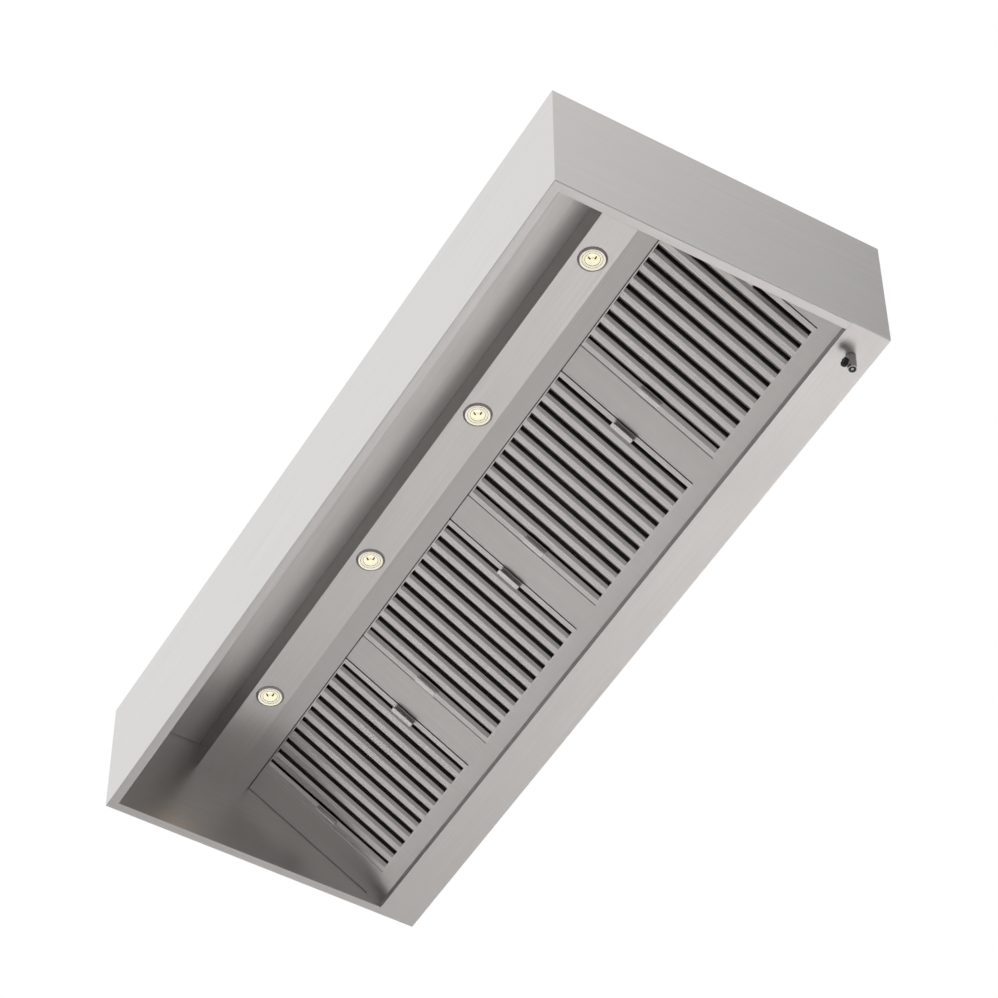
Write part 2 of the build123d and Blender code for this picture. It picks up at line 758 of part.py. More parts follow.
lid_gap = box_wall + fit
with BuildPart() as junction_box_lid:
    with BuildSketch(Plane.XY.offset(roof_top + box_height)):
        with Locations((box_x, lamp_y)):
            RectangleRounded(box_length, box_width, 2 * box_wall)
    extrude(amount=lid_thickness)
    with BuildSketch(Plane.XY.offset(roof_top + box_height)):
        with Locations((box_x, lamp_y)):
            RectangleRounded(box_length - 2 * lid_gap, box_width - 2 * lid_gap, box_wall)
            RectangleRounded(
                box_length - 2 * lid_gap - 2 * box_wall, box_width - 2 * lid_gap - 2 * box_wall, box_wall / 2,
                mode=Mode.SUBTRACT,
            )
    extrude(amount=-lid_lip)
junction_box_lid.part.label = "junction_box_lid"
export_step(junction_box_lid.part, "parts/junction_box_lid.step")

# Cable gland through the box wall: hexagon, domed clamp nut and threaded stub, with a locknut inside
with BuildPart() as cable_gland:
    with BuildSketch(Plane.YZ.offset(box_left)):
        with Locations((lamp_y, gland_z)):
            RegularPolygon(gland_hex / 2, 6, major_radius=False)
    extrude(amount=-gland_hex_length)
    with BuildSketch(Plane.YZ.offset(box_left - gland_hex_length)):
        with Locations((lamp_y, gland_z)):
            Circle(gland_dome_radius)
    extrude(amount=-gland_dome_length)
    dome_rim = cable_gland.edges().filter_by(GeomType.CIRCLE).sort_by(Axis.X)[0]
    fillet(dome_rim, gland_dome_radius - gland_bore_radius - sheet)
    with BuildSketch(Plane.YZ.offset(box_left)):
        with Locations((lamp_y, gland_z)):
            Circle(gland_radius)
    extrude(amount=box_wall + gland_nut_length + sheet)
    with BuildSketch(Plane.YZ.offset(box_left - gland_hex_length - gland_dome_length)):
        with Locations((lamp_y, gland_z)):
            Circle(gland_bore_radius)
    extrude(
        amount=gland_hex_length + gland_dome_length + box_wall + gland_nut_length + sheet, mode=Mode.SUBTRACT
    )
    with BuildSketch(Plane.YZ.offset(box_left + box_wall)):
        with Locations((lamp_y, gland_z)):
            RegularPolygon(gland_hex / 2, 6, major_radius=False)
            Circle(gland_radius + fit / 3, mode=Mode.SUBTRACT)
    extrude(amount=gland_nut_length)
cable_gland.part.label = "cable_gland"
export_step(cable_gland.part, "parts/cable_gland.step")

# Exhaust collar: a flange on the roof and a plain duct spigot
with BuildPart() as exhaust_collar:
    with BuildSketch(Plane(origin=(0, collar_y, roof_top), x_dir=(1, 0, 0), z_dir=(0, -1, 0))):
        with BuildLine():
            FilletPolyline(
                (collar_radius + collar_flange, 0), (collar_radius - collar_sheet, 0),
                (collar_radius - collar_sheet, collar_length), radius=collar_bend,
            )
            offset(amount=collar_sheet, side=Side.RIGHT)
        make_face()
    revolve(axis=Axis((0, collar_y, 0), (0, 0, 1)))
    with BuildSketch(Plane.XY.offset(roof_top)):
        with Locations((0, collar_y)):
            with PolarLocations(collar_rivet_circle, collar_rivets):
                Circle(rivet_radius + fit / 2)
    extrude(amount=collar_sheet, mode=Mode.SUBTRACT)
exhaust_collar.part.label = "exhaust_collar"
export_step(exhaust_collar.part, "parts/exhaust_collar.step")

# Rivets of the collar, with a low head above and a shank through flange and roof
with BuildPart() as collar_rivet_set:
    with BuildSketch(Plane.XY.offset(roof_top + collar_sheet)):
        with Locations((0, collar_y)):
            with PolarLocations(collar_rivet_circle, collar_rivets):
                Circle(rivet_head_radius)
    extrude(amount=rivet_head, taper=30)
    with BuildSketch(Plane.XY.offset(roof_under - rivet_tail)):
        with Locations((0, collar_y)):
            with PolarLocations(collar_rivet_circle, collar_rivets):
                Circle(rivet_radius)
    extrude(amount=rivet_tail + sheet + collar_sheet)
collar_rivet_set.part.label = "collar_rivets"
export_step(collar_rivet_set.part, "parts/collar_rivets.step")

# Hanging brackets: hat sections with a rod hole in the bridge, riveted to the roof
with BuildPart() as hanger:
    with BuildSketch(Plane.XZ.offset(-hanger_width / 2)):
        with BuildLine():
            FilletPolyline(
                (-hanger_inside / 2 - hanger_foot, roof_top), (-hanger_inside / 2, roof_top),
                (-hanger_inside / 2, roof_top + hanger_height), (hanger_inside / 2, roof_top + hanger_height),
                (hanger_inside / 2, roof_top), (hanger_inside / 2 + hanger_foot, roof_top), radius=hanger_bend,
            )
            offset(amount=hanger_sheet, side=Side.LEFT)
        make_face()
    extrude(amount=hanger_width)
    with BuildSketch(Plane.XY.offset(roof_top + hanger_height)):
        Circle(hanger_hole_radius)
    extrude(amount=hanger_sheet, mode=Mode.SUBTRACT)
    with BuildSketch(Plane.XY.offset(roof_top)):
        with Locations((-hanger_rivet_x, 0), (hanger_rivet_x, 0)):
            Circle(rivet_radius + fit / 2)
    extrude(amount=hanger_sheet, mode=Mode.SUBTRACT)

with BuildPart() as hanging_brackets:
    with Locations(*[(x, y, 0) for x, y in hanger_places]):
        add(hanger.part)
hanging_brackets.part.label = "hanging_brackets"
export_step(hanging_brackets.part, "parts/hanging_brackets.step")

with BuildPart() as bracket_rivets:
    with BuildSketch(Plane.XY.offset(roof_top + hanger_sheet)):
        with Locations(*hanger_rivet_places):
            Circle(rivet_head_radius)
    extrude(amount=rivet_head, taper=30)
    with BuildSketch(Plane.XY.offset(roof_under - rivet_tail)):
        with Locations(*hanger_rivet_places):
            Circle(rivet_radius)
    extrude(amount=rivet_tail + sheet + hanger_sheet)
bracket_rivets.part.label = "bracket_rivets"
export_step(bracket_rivets.part, "parts/bracket_rivets.step")

# Drain cock: body under the gutter with a ball seat, seal, nut in the gutter, ball with stem, and knob
drain_y = -drain_back
drain_axis = Axis((drain_x, drain_y, 0), (0, 0, 1))
collar_under = -drain_seal_thickness - drain_collar_thickness
with BuildPart() as drain_body:
    with BuildSketch(Plane(origin=(drain_x, drain_y, 0), x_dir=(1, 0, 0), z_dir=(0, -1, 0))):
        with BuildLine():
            Polyline(
                (0, drain_stub_height), (drain_stub_radius, drain_stub_height),
                (drain_stub_radius, -drain_seal_thickness), (drain_seal_radius, -drain_seal_thickness),
                (drain_seal_radius, collar_under), (drain_barrel_radius, collar_under),
                (drain_barrel_radius, -drain_barrel_end), (drain_spigot_radius, -drain_barrel_end),
                (drain_spigot_radius, -drain_end), (0, -drain_end), close=True,
            )
        make_face()
    revolve(axis=drain_axis)
    with BuildSketch(Plane(origin=(drain_x, drain_y, -stem_drop), x_dir=(1, 0, 0), z_dir=(0, -1, 0))):
        Circle(boss_radius)
    extrude(amount=boss_reach)
    with BuildSketch(Plane(origin=(drain_x, drain_y, -stem_drop), x_dir=(1, 0, 0), z_dir=(0, -1, 0))):
        Circle(stem_radius + fit)
    extrude(amount=boss_reach, mode=Mode.SUBTRACT)
    with BuildSketch(Plane.XY.offset(-drain_end)):
        with Locations((drain_x, drain_y)):
            Circle(drain_bore_radius)
    extrude(amount=drain_end + drain_stub_height, mode=Mode.SUBTRACT)
    with BuildSketch(Plane.XY.offset(-drain_end)):
        with Locations((drain_x, drain_y)):
            Circle(drain_spigot_bore)
    extrude(amount=drain_spigot_bore_depth, mode=Mode.SUBTRACT)
    with Locations((drain_x, drain_y, -stem_drop)):
        Sphere(ball_radius + fit, mode=Mode.SUBTRACT)
drain_body.part.label = "drain_body"
export_step(drain_body.part, "parts/drain_body.step")

with BuildPart() as drain_seal:
    with BuildSketch(Plane.XY.offset(-drain_seal_thickness)):
        with Locations((drain_x, drain_y)):
            Circle(drain_seal_radius)
            Circle(drain_stub_radius + fit, mode=Mode.SUBTRACT)
    extrude(amount=drain_seal_thickness)
drain_seal.part.label = "drain_seal"
export_step(drain_seal.part, "parts/drain_seal.step")

with BuildPart() as drain_nut:
    with BuildSketch(Plane.XY.offset(sheet)):
        with Locations((drain_x, drain_y)):
            RegularPolygon(drain_hex / 2, 6, major_radius=False)
            Circle(drain_stub_radius + fit / 3, mode=Mode.SUBTRACT)
    extrude(amount=drain_hex_height)
drain_nut.part.label = "drain_nut"
export_step(drain_nut.part, "parts/drain_nut.step")

# Ball, closed across the bore at rest, on its stem; the knob turns them a quarter
stem_plane = Plane(origin=(drain_x, drain_y, -stem_drop), x_dir=(1, 0, 0), z_dir=(0, -1, 0))
stem_length = boss_reach + knob_gap + knob_thickness / 2
ball_half = sqrt(ball_radius**2 - ball_bore_radius**2)
ball_wall_middle = (ball_radius + ball_bore_radius) / 2
with BuildPart() as drain_stem:
    with BuildSketch(stem_plane):
        with BuildLine():
            ThreePointArc((-ball_half, ball_bore_radius), (0, ball_radius), (ball_half, ball_bore_radius))
            Line((-ball_half, ball_bore_radius), (ball_half, ball_bore_radius))
        make_face()
    revolve(axis=Axis((drain_x, drain_y, -stem_drop), (1, 0, 0)))
    with BuildSketch(stem_plane.offset(ball_wall_middle)):
        Circle(stem_radius)
    extrude(amount=stem_length - ball_wall_middle)
    with BuildSketch(Plane.YZ.offset(drain_x)):
        with Locations((drain_y, -stem_drop)):
            Circle(ball_bore_radius)
    extrude(amount=ball_radius, both=True, mode=Mode.SUBTRACT)
drain_stem.part.label = "drain_stem"
export_step(drain_stem.part, "parts/drain_stem.step")

with BuildPart() as drain_knob:
    with BuildSketch(stem_plane.offset(boss_reach + knob_gap)):
        Circle(knob_radius)
    extrude(amount=knob_thickness)
    fillet(drain_knob.edges().filter_by(GeomType.CIRCLE).sort_by(Axis.Y)[0], knob_fillet)
    with BuildSketch(stem_plane.offset(boss_reach + knob_gap)):
        Circle(stem_radius)
    extrude(amount=knob_thickness / 2, mode=Mode.SUBTRACT)
drain_knob.part.label = "drain_knob"
export_step(drain_knob.part, "parts/drain_knob.step")
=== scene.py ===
"""Looks of a wall canopy hood: brushed steel panels, baffle filters, lit spotlights and a drain cock."""

import math

import bmesh
import bpy
from mathutils import Matrix, Vector


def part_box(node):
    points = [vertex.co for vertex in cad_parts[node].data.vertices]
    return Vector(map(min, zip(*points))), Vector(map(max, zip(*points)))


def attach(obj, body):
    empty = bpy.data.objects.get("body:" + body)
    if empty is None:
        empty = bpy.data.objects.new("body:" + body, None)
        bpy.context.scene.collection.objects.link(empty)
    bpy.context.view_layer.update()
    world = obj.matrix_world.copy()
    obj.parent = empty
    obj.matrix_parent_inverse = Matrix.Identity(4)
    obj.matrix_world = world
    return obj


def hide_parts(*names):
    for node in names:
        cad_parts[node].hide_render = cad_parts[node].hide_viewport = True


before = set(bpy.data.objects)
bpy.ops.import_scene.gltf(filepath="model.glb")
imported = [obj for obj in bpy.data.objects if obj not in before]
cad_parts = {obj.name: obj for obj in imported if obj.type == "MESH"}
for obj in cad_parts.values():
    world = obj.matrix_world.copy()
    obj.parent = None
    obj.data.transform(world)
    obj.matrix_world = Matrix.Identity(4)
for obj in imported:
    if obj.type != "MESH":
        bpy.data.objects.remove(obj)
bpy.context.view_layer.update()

HOOD = "hood"
DRAIN_VALVE = "drain_valve"
LAMP_NUMBERS = (1, 2, 3, 4)
FILTER_NUMBERS = (1, 2, 3, 4)
BLANK_NUMBERS = (1, 2, 3, 4, 5)

# Places, in metres. The hood's middle lies at X = 0, and the lamps stand in one row along X
LAMP_SPACING = 0.6
LAMP_ROW_START = -2.0 * LAMP_SPACING


def middle_of(node):
    low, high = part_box(node)
    return (low + high) / 2


LAMP_Y = middle_of("lamp_1_bezel").y
DRAIN_AXIS = Vector((middle_of("drain_stem").x, -0.060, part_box("drain_body")[0].z))

# The sloping bank of filters: a point on its foot, the way up its slope, and the way in behind its face
BANK_TILT = math.radians(30)
BANK_FOOT = Vector((0.0, -0.1414, 0.0568))
BANK_UP = Vector((0.0, -math.cos(BANK_TILT), math.sin(BANK_TILT)))
BANK_IN = Vector((0.0, BANK_UP.z, -BANK_UP.y))

# Points of a piece that lie nearer than this are joined
WELD = 0.000001


# Camera: low on the right, looking up into the hood
def camera_from_below():
    place = (5.596553, -3.736480, -7.369436)
    right = Vector((0.503179515, 0.864165074, -0.005394449))
    down = Vector((-0.664820154, 0.383103315, -0.641284658))
    ahead = Vector((-0.552109173, 0.326267641, 0.767284098))
    data = bpy.data.cameras.new("hood_camera")
    data.sensor_width = 36.0
    data.lens = 130.864
    data.clip_start = 0.1
    data.clip_end = 200.0
    camera = bpy.data.objects.new("hood_camera", data)
    turn = Matrix((right, -down, -ahead)).transposed().to_4x4()
    camera.matrix_world = Matrix.Translation(place) @ turn
    bpy.context.collection.objects.link(camera)
    bpy.context.scene.camera = camera


camera_from_below()


# Node helpers
def new_material(name):
    material = bpy.data.materials.new(name)
    material.use_nodes = True
    tree = material.node_tree
    tree.nodes.clear()
    output = tree.nodes.new("ShaderNodeOutputMaterial")
    shader = tree.nodes.new("ShaderNodeBsdfPrincipled")
    tree.links.new(shader.outputs["BSDF"], output.inputs["Surface"])
    return material, tree, shader


def new_group(name, inputs, outputs):
    tree = bpy.data.node_groups.new(name, "ShaderNodeTree")
    for label, kind, value in inputs:
        socket = tree.interface.new_socket(name=label, in_out="INPUT", socket_type=kind)
        socket.default_value = value
    for label, kind in outputs:
        tree.interface.new_socket(name=label, in_out="OUTPUT", socket_type=kind)
    return tree, tree.nodes.new("NodeGroupInput"), tree.nodes.new("NodeGroupOutput")


def math_node(tree, operation, first, second=None, clamp=False):
    node = tree.nodes.new("ShaderNodeMath")
    node.operation = operation
    node.use_clamp = clamp
    for slot, value in enumerate((first, second)):
        if value is None:
            continue
        if isinstance(value, (int, float)):
            node.inputs[slot].default_value = value
        else:
            tree.links.new(value, node.inputs[slot])
    return node.outputs[0]


def weighted_sum(tree, first, second):
    """Adds two values, each given with its weight."""
    return math_node(tree, "ADD", math_node(tree, "MULTIPLY", *first), math_node(tree, "MULTIPLY", *second))


def vector_node(tree, operation, first, second):
    node = tree.nodes.new("ShaderNodeVectorMath")
    node.operation = operation
    for slot, value in enumerate((first, second)):
        if isinstance(value, tuple):
            node.inputs[slot].default_value = value
        else:
            tree.links.new(value, node.inputs[slot])
    return node.outputs[0]


def noise_node(tree, vector, scale, detail=2.0, roughness=0.5):
    node = tree.nodes.new("ShaderNodeTexNoise")
    node.inputs["Scale"].default_value = scale
    node.inputs["Detail"].default_value = detail
    node.inputs["Roughness"].default_value = roughness
    tree.links.new(vector, node.inputs["Vector"])
    return node.outputs["Fac"]


def range_node(tree, value, low, high, to_low, to_high):
    node = tree.nodes.new("ShaderNodeMapRange")
    for slot, number in zip((1, 2, 3, 4), (low, high, to_low, to_high)):
        if isinstance(number, (int, float)):
            node.inputs[slot].default_value = number
        else:
            tree.links.new(number, node.inputs[slot])
    tree.links.new(value, node.inputs[0])
    return node.outputs[0]


def mix_colour(tree, factor, first, second):
    node = tree.nodes.new("ShaderNodeMix")
    node.data_type = "RGBA"
    for slot, value in ((0, factor), (6, first), (7, second)):
        if isinstance(value, (int, float)):
            node.inputs[slot].default_value = value
        elif isinstance(value, tuple):
            node.inputs[slot].default_value = (*value, 1.0)
        else:
            tree.links.new(value, node.inputs[slot])
    return node.outputs[2]


# Brush lines: long fine streaks, with the stretch giving how often they change along each axis
def brush_group():
    tree, inp, out = new_group(
        "brush_lines",
        [("Stretch", "NodeSocketVector", (6.0, 900.0, 900.0)), ("Contrast", "NodeSocketFloat", 1.0)],
        [("Streaks", "NodeSocketFloat"), ("Height", "NodeSocketFloat")],
    )
    place = tree.nodes.new("ShaderNodeTexCoord").outputs["Object"]
    stretched = vector_node(tree, "MULTIPLY", place, inp.outputs["Stretch"])
    fine = noise_node(tree, stretched, 1.0, 3.0, 0.6)
    broad = noise_node(tree, vector_node(tree, "MULTIPLY", stretched, (0.35, 0.18, 0.18)), 1.0, 2.0, 0.5)
    both = weighted_sum(tree, (fine, 0.6), (broad, 0.4))
    centred = math_node(tree, "MULTIPLY", math_node(tree, "SUBTRACT", both, 0.5), inp.outputs["Contrast"])
    tree.links.new(math_node(tree, "ADD", centred, 0.5, clamp=True), out.inputs["Streaks"])
    tree.links.new(fine, out.inputs["Height"])
    return tree


# Handling marks: wide soft clouds and a few smudges that dull a metal surface
def marks_group():
    tree, inp, out = new_group(
        "handling_marks",
        [("Cloud Size", "NodeSocketFloat", 3.0), ("Amount", "NodeSocketFloat", 0.5)],
        [("Marks", "NodeSocketFloat")],
    )
    place = tree.nodes.new("ShaderNodeTexCoord").outputs["Object"]
    node = tree.nodes.new("ShaderNodeTexNoise")
    node.inputs["Detail"].default_value = 3.0
    node.inputs["Distortion"].default_value = 0.4
    tree.links.new(place, node.inputs["Vector"])
    tree.links.new(inp.outputs["Cloud Size"], node.inputs["Scale"])
    clouds = range_node(tree, node.outputs["Fac"], 0.42, 0.68, 0.0, 1.0)
    smudge = range_node(tree, noise_node(tree, place, 26.0, 4.0, 0.65), 0.60, 0.78, 0.0, 1.0)
    both = weighted_sum(tree, (clouds, 0.7), (smudge, 0.3))
    tree.links.new(math_node(tree, "MULTIPLY", both, inp.outputs["Amount"], clamp=True), out.inputs["Marks"])
    return tree


# Moulding grain: fine even pimples of plastic and rubber
def grain_group():
    tree, inp, out = new_group(
        "moulding_grain",
        [("Size", "NodeSocketFloat", 900.0)],
        [("Grain", "NodeSocketFloat"), ("Height", "NodeSocketFloat")],
    )
    place = tree.nodes.new("ShaderNodeTexCoord").outputs["Object"]
    node = tree.nodes.new("ShaderNodeTexNoise")
    node.inputs["Detail"].default_value = 2.0
    tree.links.new(place, node.inputs["Vector"])
    tree.links.new(inp.outputs["Size"], node.inputs["Scale"])
    tree.links.new(node.outputs["Fac"], out.inputs["Height"])
    tree.links.new(noise_node(tree, place, 40.0, 3.0), out.inputs["Grain"])
    return tree


# Distance from the nearest of a row of upright axes, evenly spaced along X
def ring_group():
    tree, inp, out = new_group(
        "ring_distance",
        [
            ("Spacing", "NodeSocketFloat", LAMP_SPACING),
            ("Start", "NodeSocketFloat", LAMP_ROW_START),
            ("Depth", "NodeSocketFloat", 0.0),
        ],
        [("Distance", "NodeSocketFloat")],
    )
    split = tree.nodes.new("ShaderNodeSeparateXYZ")
    tree.links.new(tree.nodes.new("ShaderNodeTexCoord").outputs["Object"], split.inputs[0])
    from_start = math_node(tree, "SUBTRACT", split.outputs["X"], inp.outputs["Start"])
    cell = math_node(tree, "FLOORED_MODULO", from_start, inp.outputs["Spacing"])
    aside = math_node(tree, "SUBTRACT", cell, math_node(tree, "MULTIPLY", inp.outputs["Spacing"], 0.5))
    deep = math_node(tree, "SUBTRACT", split.outputs["Y"], inp.outputs["Depth"])
    square = weighted_sum(tree, (aside, aside), (deep, deep))
    tree.links.new(math_node(tree, "SQRT", square), out.inputs["Distance"])
    return tree


# Painted shadow line: a narrow dark band painted across the sloping bank, where the strip's edge above shades
# the filters, at a height measured up the slope
def painted_gap_shadow_group():
    tree, inp, out = new_group(
        "painted_gap_shadow_line",
        [("Height", "NodeSocketFloat", 0.481), ("Width", "NodeSocketFloat", 0.0034)],
        [("Line", "NodeSocketFloat")],
    )
    place = tree.nodes.new("ShaderNodeTexCoord").outputs["Object"]
    node = tree.nodes.new("ShaderNodeVectorMath")
    node.operation = "DOT_PRODUCT"
    tree.links.new(vector_node(tree, "SUBTRACT", place, tuple(BANK_FOOT)), node.inputs[0])
    node.inputs[1].default_value = BANK_UP
    above = math_node(tree, "SUBTRACT", node.outputs["Value"], inp.outputs["Height"])
    share = math_node(tree, "DIVIDE", math_node(tree, "ABSOLUTE", above), inp.outputs["Width"])
    tree.links.new(range_node(tree, share, 0.4, 0.6, 1.0, 0.0), out.inputs["Line"])
    return tree


BRUSH = brush_group()
MARKS = marks_group()
GRAIN = grain_group()
RINGS = ring_group()
PAINTED_GAP_SHADOW = painted_gap_shadow_group()


def group_node(tree, group, **values):
    node = tree.nodes.new("ShaderNodeGroup")
    node.node_tree = group
    for label, value in values.items():
        node.inputs[label.replace("_", " ")].default_value = value
    return node


def bump(tree, shader, height, strength, distance):
    node = tree.nodes.new("ShaderNodeBump")
    node.inputs["Strength"].default_value = strength
    node.inputs["Distance"].default_value = distance
    tree.links.new(height, node.inputs["Height"])
    tree.links.new(node.outputs["Normal"], shader.inputs["Normal"])


# Colour of the painted shadow line under the strip's edge across the bank
GAP_SHADOW_TONE = (0.11, 0.106, 0.10)

# Depth of brush lines and moulding grain
FINE_DEPTH = 0.0002


# Brushed sheet steel: streaked colour and roughness, with soft handling marks, and where asked a painted
# shadow line across the bank
def brushed_sheet(name, bright, dull, rough, stretch, contrast=1.8, shadow_band=False):
    material, tree, shader = new_material(name)
    lines = group_node(tree, BRUSH, Stretch=stretch, Contrast=contrast)
    marks = group_node(tree, MARKS, Cloud_Size=2.2, Amount=0.5)
    tone = mix_colour(tree, lines.outputs["Streaks"], dull, bright)
    dulled = tuple(channel * 0.94 for channel in bright)
    worn = mix_colour(tree, marks.outputs["Marks"], tone, dulled)
    # Painted shadow: a dark line where the strip's edge shades the frames and blank panels
    if shadow_band:
        line = group_node(tree, PAINTED_GAP_SHADOW)
        worn = mix_colour(tree, line.outputs["Line"], worn, GAP_SHADOW_TONE)
    tree.links.new(worn, shader.inputs["Base Color"])
    streaky = range_node(tree, lines.outputs["Streaks"], 0.2, 0.8, rough + 0.04, rough - 0.04)
    tree.links.new(
        math_node(tree, "ADD", streaky, math_node(tree, "MULTIPLY", marks.outputs["Marks"], 0.06)),
        shader.inputs["Roughness"],
    )
    shader.inputs["Metallic"].default_value = 1.0
    bump(tree, shader, lines.outputs["Height"], 0.06, FINE_DEPTH)
    return material


# Plastic and rubber: moulded grain over a slightly uneven colour
def moulded(name, colour, rough, grain=900.0, dent=0.15):
    material, tree, shader = new_material(name)
    skin = group_node(tree, GRAIN, Size=grain)
    darker = tuple(channel * 0.8 for channel in colour)
    tree.links.new(mix_colour(tree, skin.outputs["Grain"], darker, colour), shader.inputs["Base Color"])
    uneven = range_node(tree, skin.outputs["Grain"], 0.2, 0.8, rough - 0.05, rough + 0.08)
    tree.links.new(uneven, shader.inputs["Roughness"])
    bump(tree, shader, skin.outputs["Height"], dent, FINE_DEPTH)
    return material


# Lamp trim: white enamel with a painted glow, an emission that stands in for the lamp's light falling on it,
# with a satin chrome cone round it
ENAMEL_RADIUS = 0.0338
CONE_RADIUS = 0.0342
PAINTED_GLOW_RADII = (0.020, 0.034)
PAINTED_RIM_GLOW = 0.80


def trim_finish_with_painted_glow(name, enamel, chrome, glow, painted_glow_strength):
    material, tree, shader = new_material(name)
    black = (0.0, 0.0, 0.0)
    rings = group_node(tree, RINGS, Spacing=LAMP_SPACING, Start=LAMP_ROW_START, Depth=LAMP_Y)
    skin = group_node(tree, GRAIN, Size=500.0)
    cone = range_node(tree, rings.outputs["Distance"], ENAMEL_RADIUS, CONE_RADIUS, 0.0, 1.0)
    tone = mix_colour(tree, skin.outputs["Grain"], tuple(channel * 0.95 for channel in enamel), enamel)
    tree.links.new(mix_colour(tree, cone, tone, chrome), shader.inputs["Base Color"])
    tree.links.new(cone, shader.inputs["Metallic"])
    tree.links.new(range_node(tree, skin.outputs["Grain"], 0.2, 0.8, 0.22, 0.32), shader.inputs["Roughness"])
    # Painted glow: emission on the enamel, strongest near the lamp and fading towards the rim, in place of
    # the lamp's light falling on it
    near = range_node(tree, rings.outputs["Distance"], *PAINTED_GLOW_RADII, 1.0, PAINTED_RIM_GLOW)
    painted_glow_colour = mix_colour(tree, near, black, glow)
    tree.links.new(mix_colour(tree, cone, painted_glow_colour, black), shader.inputs["Emission Color"])
    shader.inputs["Emission Strength"].default_value = painted_glow_strength
    return material


# Lit glass and reflector: a warm glow that is a little uneven, as facets and frosting make it
def lit(name, bright, edge, strength, size):
    material, tree, shader = new_material(name)
    skin = group_node(tree, GRAIN, Size=size)
    facets = range_node(tree, skin.outputs["Height"], 0.35, 0.65, 0.0, 1.0)
    tree.links.new(mix_colour(tree, facets, edge, bright), shader.inputs["Emission Color"])
    tree.links.new(mix_colour(tree, skin.outputs["Grain"], edge, bright), shader.inputs["Base Color"])
    shader.inputs["Emission Strength"].default_value = strength
    tree.links.new(range_node(tree, skin.outputs["Grain"], 0.2, 0.8, 0.12, 0.2), shader.inputs["Roughness"])
    return material


# Drain body: satin nickel, with a black washer face let into the outlet
BORE_RADII = (0.0071, 0.0073)
WASHER_RADII = (0.0101, 0.0104)
WASHER_HEIGHTS = (0.0002, 0.0004)


def outlet_finish(name, nickel, washer):
    material, tree, shader = new_material(name)
    one_cell = 4.0
    rings = group_node(tree, RINGS, Spacing=one_cell, Start=DRAIN_AXIS.x - one_cell / 2, Depth=DRAIN_AXIS.y)
    lines = group_node(tree, BRUSH, Stretch=TURNED, Contrast=1.2)
    height = tree.nodes.new("ShaderNodeSeparateXYZ")
    tree.links.new(tree.nodes.new("ShaderNodeTexCoord").outputs["Object"], height.inputs[0])
    face_low, face_high = (DRAIN_AXIS.z + rise for rise in WASHER_HEIGHTS)
    near_end = range_node(tree, height.outputs["Z"], face_low, face_high, 1.0, 0.0)
    bore = range_node(tree, rings.outputs["Distance"], *BORE_RADII, 1.0, 0.0)
    inside_face = range_node(tree, rings.outputs["Distance"], *WASHER_RADII, 1.0, 0.0)
    black = math_node(tree, "MAXIMUM", math_node(tree, "MULTIPLY", near_end, inside_face), bore)
    outside = mix_colour(tree, lines.outputs["Streaks"], tuple(channel * 0.8 for channel in nickel), nickel)
    tree.links.new(mix_colour(tree, black, outside, washer), shader.inputs["Base Color"])
    tree.links.new(range_node(tree, black, 0.0, 1.0, 1.0, 0.0), shader.inputs["Metallic"])
    streaky = range_node(tree, lines.outputs["Streaks"], 0.2, 0.8, 0.40, 0.30)
    tree.links.new(streaky, shader.inputs["Roughness"])
    bump(tree, shader, lines.outputs["Height"], 0.1, FINE_DEPTH)
    return material


# How often the finish changes along each axis, and the two tones of the panels' steel
ALONG = (5.0, 1400.0, 1400.0)
ACROSS = (1400.0, 5.0, 1400.0)
SLOPED = (1400.0, 6.0, 6.0)
TURNED = (20.0, 20.0, 2200.0)
SPANGLED = (60.0, 60.0, 60.0)
TUMBLED = (500.0, 500.0, 500.0)
BRIGHT = (0.75, 0.738, 0.73)
DULL = (0.61, 0.60, 0.592)

panel_steel = brushed_sheet("panel_steel", BRIGHT, DULL, 0.34, ALONG)
end_steel = brushed_sheet("end_steel", BRIGHT, DULL, 0.34, ACROSS)
inner_steel = brushed_sheet("inner_steel", BRIGHT, DULL, 0.40, ALONG)
# Light box: a darker copy of the panel steel, painted shade for the dim trough between the front panel and
# the light box
light_box_painted_shade = brushed_sheet("light_box_painted_shade", (0.60, 0.588, 0.576), (0.52, 0.51, 0.50), 0.42, ALONG)
# Blank panels and filter frames carry the painted shadow line under the strip's edge
blank_steel = brushed_sheet("blank_steel", BRIGHT, DULL, 0.36, SLOPED, shadow_band=True)
frame_steel = brushed_sheet("frame_steel", (0.74, 0.73, 0.722), (0.66, 0.65, 0.64), 0.32, SLOPED, shadow_band=True)
baffle_steel = brushed_sheet("baffle_steel", (0.72, 0.71, 0.702), (0.58, 0.57, 0.56), 0.28, SLOPED, 1.6)
# Rear baffles: a near-black copy of the baffle steel, painted shade for the dark inside of the plenum seen
# through the slots
rear_steel_painted_shade = brushed_sheet("rear_steel_painted_shade", (0.085, 0.083, 0.08), (0.06, 0.058, 0.056), 0.5, SLOPED, 1.2)
handle_steel = brushed_sheet("handle_steel", (0.76, 0.75, 0.742), (0.68, 0.67, 0.66), 0.26, SLOPED)
zinc_coat = brushed_sheet("zinc_coat", (0.64, 0.65, 0.66), (0.52, 0.53, 0.54), 0.42, SPANGLED, 1.6)
turned_steel = brushed_sheet("turned_steel", (0.66, 0.65, 0.64), (0.50, 0.49, 0.48), 0.28, TURNED)
rivet_alloy = brushed_sheet("rivet_alloy", (0.70, 0.70, 0.71), (0.60, 0.60, 0.61), 0.36, TUMBLED)
drain_nickel = outlet_finish("drain_nickel", (0.60, 0.59, 0.57), (0.03, 0.028, 0.026))
lamp_enamel = trim_finish_with_painted_glow("lamp_enamel", (0.86, 0.82, 0.72), (0.52, 0.50, 0.48), (1.0, 0.94, 0.76), 0.64)
